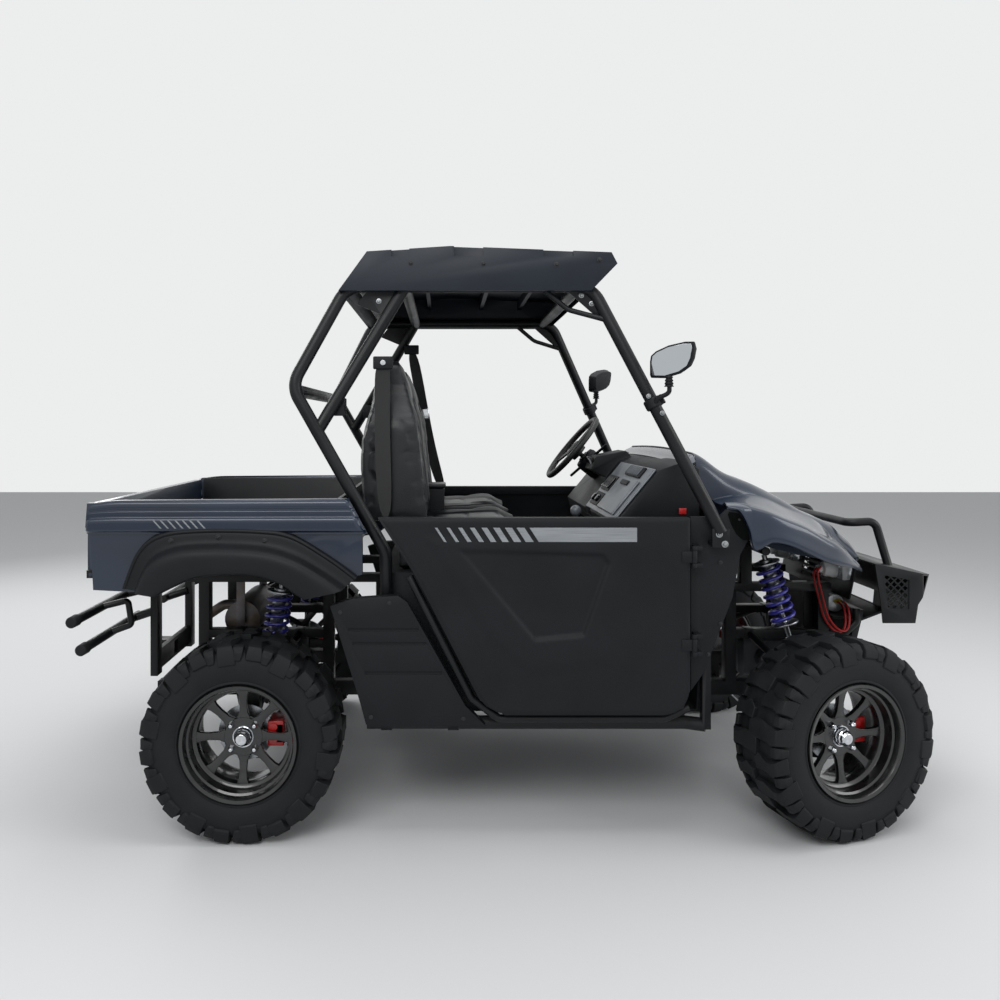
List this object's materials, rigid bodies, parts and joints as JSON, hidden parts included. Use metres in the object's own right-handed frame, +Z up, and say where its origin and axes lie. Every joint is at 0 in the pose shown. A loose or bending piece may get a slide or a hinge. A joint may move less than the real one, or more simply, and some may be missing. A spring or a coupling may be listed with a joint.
{
  "type": "side by side utility vehicle",
  "caption": "Open-cab side-by-side utility vehicle with roll cage, hard roof, half doors, dumping cargo bed, drop tailgate, winch bumper and knobbly tyres, front wheels steered left.",
  "frame": {"origin": "on the ground under the middle of the overall length and width", "axes": "+X forward, +Y left, +Z up"},
  "size_m": [2.996, 1.6863, 1.9516],
  "materials": {
    "powder_coat": "satin black powder coat on steel tube",
    "paint": "dark slate blue-grey paint on moulded plastic",
    "roof_plastic": "moulded dark blue-grey plastic",
    "grained_plastic": "near-black grained plastic",
    "dash_plastic": "moulded dark plastic",
    "seat_cover": "black vinyl cover over foam",
    "cast_alloy": "rough cast",
    "exhaust_steel": "heat-dulled steel",
    "damper_steel": "ground steel",
    "spring_paint": "blue-violet paint",
    "radiator_alloy": "black core",
    "winch_alloy": "satin",
    "lamp_glass": "clear lens",
    "bed_steel": "satin black",
    "grip_rubber": "soft grip",
    "cast_iron": "black cast",
    "tyre_rubber": "carbon-black tread rubber",
    "rim_paint": "gloss black paint on cast alloy"
  },
  "bodies": {
    "chassis": {"frame": "powder_coat", "sill_tubes": "powder_coat", "spring_bridges": "powder_coat", "roll_cage": "powder_coat", "roof": "roof_plastic", "hood": "paint", "front_fenders": "paint", "front_fascia": "grained_plastic", "kick_panels": "grained_plastic", "door_frames": "powder_coat", "quarter_panels": "grained_plastic", "floor_tub": "grained_plastic", "dash": "dash_plastic", "steering_column": "powder_coat", "seat_base": "grained_plastic", "seat_cushions": "seat_cover", "seat_backs": "seat_cover", "engine": "cast_alloy", "muffler": "exhaust_steel", "drivetrain": "cast_alloy", "front_arms": "powder_coat", "rear_arms": "powder_coat", "dampers": "damper_steel", "springs": "spring_paint", "radiator": "radiator_alloy", "front_bumper": "powder_coat", "winch": "winch_alloy", "rear_bumper": "powder_coat", "headlights": "lamp_glass", "mirrors": "grained_plastic", "seat_belts": "grained_plastic", "controls": "powder_coat"},
    "bed": {"bed_tub": "bed_steel", "bed_sides": "paint", "bed_flares": "grained_plastic"},
    "tailgate": {"tailgate": "paint"},
    "door_right": {"door_right": "grained_plastic"},
    "door_left": {"door_left": "grained_plastic"},
    "steering_rack": {"steering_rack": "damper_steel"},
    "steering_wheel": {"steering_wheel": "grip_rubber"},
    "knuckle_right": {"knuckle_right": "cast_iron"},
    "knuckle_left": {"knuckle_left": "cast_iron"},
    "wheel_rear_right": {"tyre_rear_right": "tyre_rubber", "rim_rear_right": "rim_paint"},
    "wheel_rear_left": {"tyre_rear_left": "tyre_rubber", "rim_rear_left": "rim_paint"},
    "wheel_front_right": {"tyre_front_right": "tyre_rubber", "rim_front_right": "rim_paint"},
    "wheel_front_left": {"tyre_front_left": "tyre_rubber", "rim_front_left": "rim_paint"}
  },
  "joints": [
    {"name": "spin_rear_right", "type": "hinge", "parent": "chassis", "child": "wheel_rear_right", "pos_m": [-0.923, -0.64, 0.324], "axis": [0, 1, 0], "continuous": true},
    {"name": "spin_rear_left", "type": "hinge", "parent": "chassis", "child": "wheel_rear_left", "pos_m": [-0.923, 0.64, 0.324], "axis": [0, 1, 0], "continuous": true},
    {"name": "steer_right", "type": "hinge", "parent": "chassis", "child": "knuckle_right", "pos_m": [1.007, -0.56, 0.324], "axis": [0, 0, 1], "range_deg": [-50, 14]},
    {"name": "steer_left", "type": "hinge", "parent": "chassis", "child": "knuckle_left", "pos_m": [1.007, 0.56, 0.324], "axis": [0, 0, 1], "range_deg": [-50.1, 14.1]},
    {"name": "spin_front_right", "type": "hinge", "parent": "knuckle_right", "child": "wheel_front_right", "pos_m": [1.03481, -0.6456, 0.324], "axis": [-0.309, 0.9511, 0], "continuous": true},
    {"name": "spin_front_left", "type": "hinge", "parent": "knuckle_left", "child": "wheel_front_left", "pos_m": [0.97919, 0.6456, 0.324], "axis": [-0.309, 0.9511, 0], "continuous": true},
    {"name": "rack_slide", "type": "slide", "parent": "chassis", "child": "steering_rack", "axis": [0, 1, 0], "range_m": [-0.026, 0.0918]},
    {"name": "steering_wheel_turn", "type": "hinge", "parent": "chassis", "child": "steering_wheel", "pos_m": [0.305, 0.33, 1.248], "axis": [-0.77, 0, 0.638], "range_deg": [-493, 139]},
    {"name": "door_right_hinge", "type": "hinge", "parent": "chassis", "child": "door_right", "pos_m": [0.543, -0.748, 0.7], "axis": [0, 0, 1], "range_deg": [0, 65]},
    {"name": "door_left_hinge", "type": "hinge", "parent": "chassis", "child": "door_left", "pos_m": [0.543, 0.748, 0.7], "axis": [0, 0, -1], "range_deg": [0, 65]},
    {"name": "bed_tip", "type": "hinge", "parent": "chassis", "child": "bed", "pos_m": [-1.33, 0, 0.8], "axis": [0, -1, 0], "range_deg": [0, 30]},
    {"name": "tailgate_hinge", "type": "hinge", "parent": "bed", "child": "tailgate", "pos_m": [-1.438, 0, 0.852], "axis": [0, -1, 0], "range_deg": [0, 90]}
  ],
  "couplings": [
    {"joint": "steer_left", "follows": "steer_right", "ratio": 1},
    {"joint": "rack_slide", "follows": "steer_right", "m_per_rad": -0.105},
    {"joint": "steering_wheel_turn", "follows": "steer_right", "ratio": 9.84}
  ]
}
